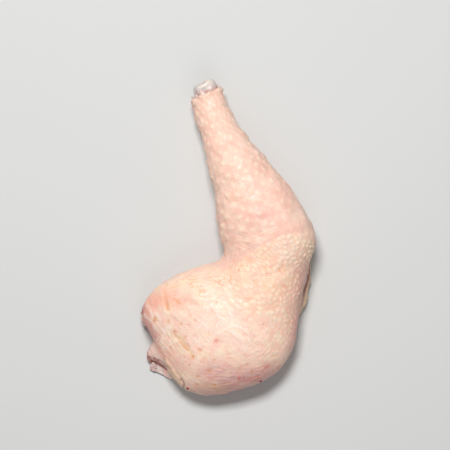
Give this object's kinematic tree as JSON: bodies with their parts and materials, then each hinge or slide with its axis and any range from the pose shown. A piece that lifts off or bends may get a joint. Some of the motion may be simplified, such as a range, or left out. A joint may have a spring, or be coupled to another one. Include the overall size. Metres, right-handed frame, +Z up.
{
  "type": "raw chicken leg quarter",
  "caption": "Raw skin-on chicken leg quarter, thigh and drumstick bent at the knee, lying skin side up, with a strip of back on the thigh and bone showing at the hock and at the back cut.",
  "frame": {"origin": "on the flat underside of the thigh, about under the thickest part of its meat", "axes": "+Z up, out of the skin side; +Y from the thigh towards the drumstick's hock end; +X towards the knee"},
  "size_m": [0.1054, 0.1908, 0.0397],
  "materials": {
    "skin_and_meat": "moist satin raw skin",
    "shin_bone": "wet cartilage and bone",
    "hip_bone": "sawn pinkish bone"
  },
  "bodies": {
    "root": {"leg_meat": "skin_and_meat", "shin_bone": "shin_bone", "hip_bone": "hip_bone"}
  },
  "joints": []
}
